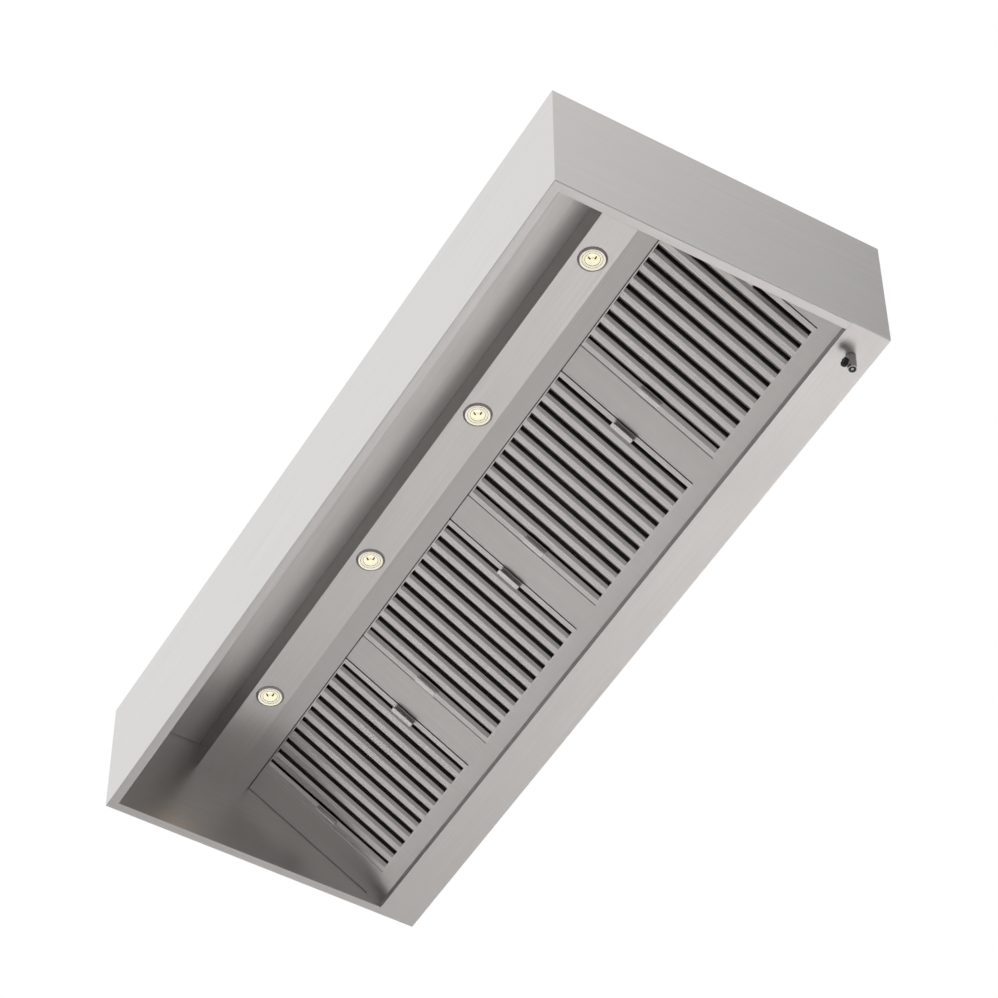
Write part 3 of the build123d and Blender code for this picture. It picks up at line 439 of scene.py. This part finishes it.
lamp_glow = lit("lamp_glow", (1.0, 0.985, 0.78), (0.90, 0.88, 0.66), 0.56, 700.0)
capsule_glow = lit("capsule_glow", (0.86, 0.74, 0.60), (0.74, 0.62, 0.50), 0.62, 900.0)
lamp_trim = moulded("lamp_trim", (0.80, 0.79, 0.76), 0.32, 600.0, 0.05)
wire_brown = moulded("wire_brown", (0.15, 0.125, 0.09), 0.5, 900.0, 0.1)
clip_dark = moulded("clip_dark", (0.10, 0.085, 0.055), 0.5, 900.0, 0.1)
holder_clay = moulded("holder_clay", (0.82, 0.80, 0.74), 0.6)
cable_sheath = moulded("cable_sheath", (0.70, 0.69, 0.66), 0.55)
black_rubber = moulded("black_rubber", (0.035, 0.035, 0.035), 0.62)
box_shell = moulded("box_shell", (0.60, 0.61, 0.61), 0.5)
gland_shell = moulded("gland_shell", (0.12, 0.12, 0.125), 0.45)
knob_shell = moulded("knob_shell", (0.008, 0.008, 0.008), 0.36, 700.0, 0.1)


def coat(node, material):
    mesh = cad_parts[node].data
    mesh.materials.clear()
    mesh.materials.append(material)


for node in ("front_panel", "rear_panel", "gutter", "gutter_lip", "lower_rail", "light_panel"):
    coat(node, panel_steel)
for node in ("roof_panel", "upper_rail", "lower_rail_brackets", "hanging_brackets"):
    coat(node, inner_steel)
coat("light_box", light_box_painted_shade)
for node in ("left_end_panel", "right_end_panel"):
    coat(node, end_steel)
for number in BLANK_NUMBERS:
    coat(f"blank_panel_{number}", blank_steel)
for number in FILTER_NUMBERS:
    coat(f"filter_{number}_frame", frame_steel)
    coat(f"filter_{number}_front_baffles", baffle_steel)
    coat(f"filter_{number}_rear_baffles", rear_steel_painted_shade)
    coat(f"filter_{number}_handles", handle_steel)
for number in LAMP_NUMBERS:
    coat(f"lamp_{number}_bezel", lamp_enamel)
    coat(f"lamp_{number}_bulb", lamp_trim)
    coat(f"lamp_{number}_holder", holder_clay)
for node, material in (
    ("lamp_retainers", lamp_trim),
    ("lamp_cable", cable_sheath),
    ("roof_grommet", black_rubber),
    ("junction_box", box_shell),
    ("junction_box_lid", box_shell),
    ("cable_gland", gland_shell),
    ("exhaust_collar", zinc_coat),
    ("collar_rivets", rivet_alloy),
    ("bracket_rivets", rivet_alloy),
    ("drain_body", drain_nickel),
    ("drain_stem", turned_steel),
    ("drain_nut", turned_steel),
    ("drain_seal", black_rubber),
    ("drain_knob", knob_shell),
):
    coat(node, material)


# Mesh helpers
def new_piece(name, mesh, body, slot, *materials):
    piece = bpy.data.objects.new(name, mesh)
    bpy.context.collection.objects.link(piece)
    for material in materials:
        mesh.materials.append(material)
    mesh.set_sharp_from_angle(angle=math.radians(35))
    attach(piece, body)
    return piece


def lathe(shape, centre, profile, steps=72, material=0):
    """Adds the rings of a profile of (radius, height) pairs, turned round an upright axis."""
    rings = []
    for radius, height in profile:
        if radius == 0.0:
            rings.append([shape.verts.new(centre + Vector((0.0, 0.0, height)))])
            continue
        ring = []
        for step in range(steps):
            angle = 2.0 * math.pi * step / steps
            offset = Vector((radius * math.cos(angle), radius * math.sin(angle), height))
            ring.append(shape.verts.new(centre + offset))
        rings.append(ring)
    for first, second in zip(rings, rings[1:]):
        for step in range(steps):
            after = (step + 1) % steps
            if len(first) == 1 and len(second) == 1:
                break
            if len(first) == 1:
                face = shape.faces.new((first[0], second[after], second[step]))
            elif len(second) == 1:
                face = shape.faces.new((first[step], first[after], second[0]))
            else:
                face = shape.faces.new((first[step], first[after], second[after], second[step]))
            face.smooth = True
            face.material_index = material


def to_mesh(shape, name, welded=False):
    if welded:
        bmesh.ops.remove_doubles(shape, verts=shape.verts, dist=WELD)
    bmesh.ops.recalc_face_normals(shape, faces=shape.faces)
    mesh = bpy.data.meshes.new(name)
    shape.to_mesh(mesh)
    shape.free()
    return mesh


# Lamps: heights are measured up from the light panel's underside. BEZEL_TOP is the top of the CAD bezel
BEZEL_TOP = 0.0079
FLANGE_UNDER = 0.0015
FLANGE_TOP = 0.0027
PLATE_SHEET = 0.0012
PLATE_UNDER = -0.0018
MOUTH = -0.0002
DISH_BASE = 0.0095
NECK_TOP = 0.0402
PIN_SPREAD = 0.0053
PIN_LENGTH = 0.006
CLIP_SIDE = Vector((0.54, 0.84, 0.0)).normalized()
CLIP_PLACE = 0.0104
CLIP_LEAN = 0.42
WIRE_RADIUS = 0.0007


def lamp_trim_ring(number, centre):
    """Flange on the panel, collar through its hole, and a cone that stands below it round the lamp plate."""
    shape = bmesh.new()
    flange = [(0.0450, FLANGE_TOP), (0.0450, FLANGE_UNDER), (0.0396, FLANGE_UNDER), (0.0396, 0.0)]
    cone = [(0.0408, 0.0), (0.0408, -0.0005), (0.0354, -0.0047), (0.0347, -0.0050), (0.0341, -0.0047)]
    plate = [(0.0337, PLATE_UNDER), (0.0206, PLATE_UNDER)]
    back = [(radius, PLATE_UNDER + PLATE_SHEET) for radius in (0.0206, 0.0350)]
    collar = [(0.0384, 0.0010), (0.0384, FLANGE_TOP), flange[0]]
    lathe(shape, centre, flange + cone + plate + back + collar, 96)
    mesh = to_mesh(shape, "lamp_trim_ring", welded=True)
    piece = new_piece(f"lamp_{number}_trim_ring", mesh, HOOD, "lamp_trim", lamp_enamel)
    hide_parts(f"lamp_{number}_bezel")


def lamp_reflector(number, centre):
    """Lit dish, with the bulb's closed shell behind it and two pins that go up into the holder."""
    shape = bmesh.new()
    dish = [
        (0.0, DISH_BASE), (0.0105, DISH_BASE), (0.0140, 0.0081), (0.0172, 0.0055), (0.0193, 0.0027),
        (0.0203, MOUTH),
    ]
    lathe(shape, centre, dish, material=0)
    shell = [
        (0.0203, MOUTH), (0.0246, MOUTH), (0.0250, 0.0002), (0.0250, 0.0110), (0.0236, 0.0114),
        (0.0214, 0.0170), (0.0175, 0.0232), (0.0120, 0.0290), (0.0090, 0.0322), (0.0090, NECK_TOP),
        (0.0, NECK_TOP),
    ]
    lathe(shape, centre, shell, material=1)
    pin_top = NECK_TOP + PIN_LENGTH
    for side in (-PIN_SPREAD / 2, PIN_SPREAD / 2):
        pin = [(0.00075, NECK_TOP), (0.00075, pin_top), (0.0, pin_top)]
        lathe(shape, centre + Vector((side, 0.0, 0.0)), pin, 16, 1)
    mesh = to_mesh(shape, "lamp_reflector", welded=True)
    piece = new_piece(f"lamp_{number}_reflector", mesh, HOOD, "bulb_glass", lamp_glow, lamp_trim)
    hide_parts(f"lamp_{number}_bulb")


def lamp_capsule(number, centre):
    shape = bmesh.new()
    capsule = [
        (0.0046, DISH_BASE), (0.0046, 0.0061), (0.0042, 0.0047), (0.0030, 0.0037), (0.0014, 0.0032),
        (0.0, 0.0031),
    ]
    lathe(shape, centre, capsule, 32)
    new_piece(f"lamp_{number}_capsule", to_mesh(shape, "lamp_capsule"), HOOD, "bulb_glass", capsule_glow)


def lamp_clips(number, centre):
    """Two dark studs beside the capsule, which lean in towards it as they come down."""
    shape = bmesh.new()
    stud = [(0.0022, 0.0), (0.0026, -0.0080), (0.0019, -0.0092), (0.0, -0.0092)]
    for side in (-1.0, 1.0):
        made = set(shape.verts)
        lathe(shape, Vector((0.0, 0.0, 0.0)), stud, 20)
        foot = centre + CLIP_SIDE * CLIP_PLACE * side + Vector((0.0, 0.0, DISH_BASE))
        for vertex in set(shape.verts) - made:
            vertex.co += foot + CLIP_SIDE * side * CLIP_LEAN * vertex.co.z
    new_piece(f"lamp_{number}_clips", to_mesh(shape, "lamp_clips"), HOOD, "lamp_trim", clip_dark)


def wire_ring(shape, centre, radius, wire, steps=72, sides=8):
    rings = []
    for step in range(steps):
        angle = 2.0 * math.pi * step / steps
        out = Vector((math.cos(angle), math.sin(angle), 0.0))
        ring = []
        for side in range(sides):
            turn = 2.0 * math.pi * side / sides
            offset = out * (radius + wire * math.cos(turn))
            offset.z = wire * math.sin(turn)
            ring.append(shape.verts.new(centre + offset))
        rings.append(ring)
    for step, ring in enumerate(rings):
        following = rings[(step + 1) % steps]
        for side in range(sides):
            after = (side + 1) % sides
            shape.faces.new((ring[side], ring[after], following[after], following[side])).smooth = True


def lamp_wires(number, centre):
    """Two wire rings that lie on the lamp plate."""
    shape = bmesh.new()
    seat = centre + Vector((0.0, 0.0, PLATE_UNDER))
    for radius in (0.0278, 0.0208):
        wire_ring(shape, seat, radius, WIRE_RADIUS)
    new_piece(f"lamp_{number}_wires", to_mesh(shape, "lamp_wires"), HOOD, "lamp_trim", wire_brown)


def lamp_centre(number):
    """Where the lamp's axis meets the light panel's underside."""
    centre = middle_of(f"lamp_{number}_bezel")
    centre.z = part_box(f"lamp_{number}_bezel")[1].z - BEZEL_TOP
    return centre


for number in LAMP_NUMBERS:
    centre = lamp_centre(number)
    lamp_trim_ring(number, centre)
    lamp_reflector(number, centre)
    lamp_capsule(number, centre)
    lamp_clips(number, centre)
    lamp_wires(number, centre)


# Sheet strips that run along the hood, folded from profiles of (depth, height) points
def strip_mesh(shape, profile, left, right):
    ends = []
    for side in (left, right):
        ends.append([shape.verts.new((side, depth, height)) for depth, height in profile])
    for step in range(len(profile)):
        after = (step + 1) % len(profile)
        shape.faces.new((ends[0][step], ends[0][after], ends[1][after], ends[1][step]))
    shape.faces.new(ends[0])
    shape.faces.new(reversed(ends[1]))


def bank_point(up, into):
    """(depth, height) of a point measured up the bank's slope from its foot, and in behind its face."""
    point = BANK_FOOT + BANK_UP * up + BANK_IN * into
    return point.y, point.z


# Lower rail: a lip in the slope of the bank covers the filters' feet, with a shelf and drip flange behind
def lower_rail():
    low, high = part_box("lower_rail")
    sheet, gap, lip_top, shelf_top = 0.0015, 0.0006, 0.0155, 0.0565
    flange = high.y - sheet
    fall = math.tan(BANK_TILT)
    lip_out, lip_in = bank_point(lip_top, -gap - sheet), bank_point(lip_top, -gap)
    foot_out, foot_in = ((flange, height - fall * (flange - depth)) for depth, height in (lip_out, lip_in))
    shelf_front = lip_in[0] + (lip_in[1] - shelf_top) / fall
    under_front = shelf_front + sheet / fall
    under = shelf_top - sheet
    lip = [lip_out, foot_out, foot_in, lip_in]
    shelf = [(shelf_front, shelf_top), (under_front, under), (flange, under), (flange, shelf_top)]
    drop = [(flange, low.z), (high.y, low.z), (high.y, shelf_top), (flange, shelf_top)]
    shape = bmesh.new()
    for profile in (lip, shelf, drop):
        strip_mesh(shape, profile, low.x, high.x)
    mesh = to_mesh(shape, "lower_rail_folded", welded=True)
    piece = new_piece("lower_rail_folded", mesh, HOOD, "satin_steel", blank_steel)
    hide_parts("lower_rail")


lower_rail()


# Drain knob: a stack of lobed rings along the stem, with a rounded rim and a shallow cap on its face
def drain_knob():
    low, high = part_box("drain_knob")
    middle = middle_of("drain_knob")
    outer = (high.x - low.x) / 2
    lobes, lobe_dip, steps = 7, 0.19, 140
    back = [(high.y, 0.62), (high.y, 0.90), (high.y - 0.0012, 0.97)]
    rim = [(0.0035, 0.99), (0.0016, 0.96), (0.0005, 0.88), (0.0, 0.74)]
    cap = [(0.0003, 0.52), (0.0012, 0.46), (0.0014, 0.30)]
    front = [(low.y + rise, share) for rise, share in rim + cap]
    shape = bmesh.new()
    rings = []
    for depth, share in back + front:
        ring = []
        outwards = min(1.0, max(0.0, (share - 0.6) / 0.25))
        for step in range(steps):
            angle = 2.0 * math.pi * step / steps
            dip = lobe_dip * max(0.0, -math.cos(lobes * angle)) ** 0.8 * outwards
            radius = outer * share * (1.0 - dip)
            across, up = radius * math.cos(angle), radius * math.sin(angle)
            ring.append(shape.verts.new((middle.x + across, depth, middle.z + up)))
        rings.append(ring)
    for first, second in zip(rings, rings[1:]):
        for step in range(steps):
            after = (step + 1) % steps
            shape.faces.new((first[step], first[after], second[after], second[step])).smooth = True
    shape.faces.new(rings[0])
    shape.faces.new(rings[-1])
    mesh = to_mesh(shape, "drain_knob_lobed")
    piece = new_piece("drain_knob_lobed", mesh, DRAIN_VALVE, "knob_plastic", knob_shell)
    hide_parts("drain_knob")


# Drain outlet: a black washer let into the bore, round a bright seat
def drain_outlet():
    shape = bmesh.new()
    washer = [(0.0068, 0.0006), (0.0040, 0.0006), (0.0040, 0.0030), (0.0068, 0.0030), (0.0068, 0.0006)]
    lathe(shape, DRAIN_AXIS, washer, 48, 0)
    seat = [
        (0.0, 0.0016), (0.0014, 0.0016), (0.0022, 0.0004), (0.0034, 0.0004), (0.0039, 0.0010),
        (0.0039, 0.0030), (0.0, 0.0030),
    ]
    lathe(shape, DRAIN_AXIS, seat, 48, 1)
    mesh = to_mesh(shape, "drain_outlet_seat", welded=True)
    new_piece("drain_outlet_seat", mesh, HOOD, "drain_steel", black_rubber, turned_steel)


drain_knob()
drain_outlet()


# Studio: pale floor, white surroundings, a soft board and soft lamps. The camera looks up, so the floor
# lies far below the hood, and the lamps near it light the patches of floor that the steel mirrors
def stage_board(name, corners, material):
    mesh = bpy.data.meshes.new(name)
    mesh.from_pydata(corners, [], [(0, 1, 2, 3)])
    mesh.materials.append(material)
    board = bpy.data.objects.new(name, mesh)
    bpy.context.collection.objects.link(board)
    return board


def studio_floor():
    half, level = 60.0, -11.0
    material, tree, shader = new_material("floor_paint")
    place = tree.nodes.new("ShaderNodeTexCoord").outputs["Object"]
    tone = mix_colour(tree, noise_node(tree, place, 0.8, 3.0), (0.735, 0.712, 0.702), (0.765, 0.741, 0.730))
    tree.links.new(tone, shader.inputs["Base Color"])
    tree.links.new(tone, shader.inputs["Emission Color"])
    paler_to_camera = 0.55
    seen = tree.nodes.new("ShaderNodeLightPath").outputs["Is Camera Ray"]
    tree.links.new(range_node(tree, seen, 0.0, 1.0, 0.0, paler_to_camera), shader.inputs["Emission Strength"])
    shader.inputs["Roughness"].default_value = 0.8
    corners = [(-half, -half, level), (half, -half, level), (half, half, level), (-half, half, level)]
    stage_board("studio_floor", corners, material)


def studio_board():
    """A soft board above the hood's right end, which the end panel mirrors as a slow fall of light."""
    material, tree, shader = new_material("studio_board")
    place = tree.nodes.new("ShaderNodeSeparateXYZ")
    tree.links.new(tree.nodes.new("ShaderNodeTexCoord").outputs["Object"], place.inputs[0])
    left, right, front, back, level = 0.2, 9.0, -0.9, 6.5, 4.3
    fall = range_node(tree, place.outputs["Y"], front, 4.0, 0.0, 1.0)
    tone = mix_colour(tree, fall, (1.0, 0.98, 0.965), (0.18, 0.18, 0.18))
    tree.links.new(tone, shader.inputs["Emission Color"])
    shader.inputs["Base Color"].default_value = (0.0, 0.0, 0.0, 1.0)
    shader.inputs["Roughness"].default_value = 1.0
    shader.inputs["Specular IOR Level"].default_value = 0.0
    shader.inputs["Emission Strength"].default_value = 1.0
    corners = [(left, front, level), (right, front, level), (right, back, level), (left, back, level)]
    board = stage_board("studio_board", corners, material)
    board.visible_camera = False
    board.visible_shadow = False


def studio_world():
    """White to the camera and in mirrors, and dimmer as a light on the hood."""
    light_on_hood, seen_white = 0.37, 1.0
    world = bpy.data.worlds.new("studio_world")
    world.use_nodes = True
    bpy.context.scene.world = world
    tree = world.node_tree
    tree.nodes.clear()
    output = tree.nodes.new("ShaderNodeOutputWorld")
    background = tree.nodes.new("ShaderNodeBackground")
    path = tree.nodes.new("ShaderNodeLightPath")
    seen = math_node(tree, "MAXIMUM", path.outputs["Is Camera Ray"], path.outputs["Is Glossy Ray"])
    seen = math_node(tree, "MAXIMUM", seen, path.outputs["Is Transmission Ray"])
    tree.links.new(range_node(tree, seen, 0.0, 1.0, light_on_hood, seen_white), background.inputs["Strength"])
    tree.links.new(background.outputs["Background"], output.inputs["Surface"])
    background.inputs["Color"].default_value = (1.0, 1.0, 1.0, 1.0)


def soft_lamp(name, place, size, power, colour=(1.0, 1.0, 1.0)):
    """An oval lamp that points straight down."""
    data = bpy.data.lights.new(name, "AREA")
    data.shape = "ELLIPSE"
    data.size, data.size_y = size
    data.energy = power
    data.color = colour
    lamp = bpy.data.objects.new(name, data)
    lamp.location = place
    bpy.context.collection.objects.link(lamp)
    return lamp


studio_floor()
studio_world()
studio_board()
for name, place, size, power in (
    ("floor_lamp_back", (-5.5, 6.4, -7.0), (8.0, 6.0), 415.0),
    ("floor_lamp_middle", (-7.5, -1.8, -7.0), (6.0, 4.0), 45.0),
    ("floor_lamp_front", (-9.3, -9.8, -7.0), (9.0, 6.0), 270.0),
    ("floor_lamp_right", (20.0, -9.5, -7.0), (10.0, 6.0), 150.0),
):
    soft_lamp(name, place, size, power)
top_lamp = soft_lamp("top_lamp", (-1.0, -1.0, 3.6), (3.0, 3.0), 40.0)
top_lamp.visible_glossy = False

BELOW_TRIM = Vector((0.0, 0.0, -0.0066))
SPOT_SIZE = (0.036, 0.036)
SPOT_POWER = 0.028
WARM = (1.0, 0.62, 0.34)
for number in LAMP_NUMBERS:
    soft_lamp(f"warm_spot_{number}", lamp_centre(number) + BELOW_TRIM, SPOT_SIZE, SPOT_POWER, WARM)

bpy.context.scene.view_settings.view_transform = "Standard"
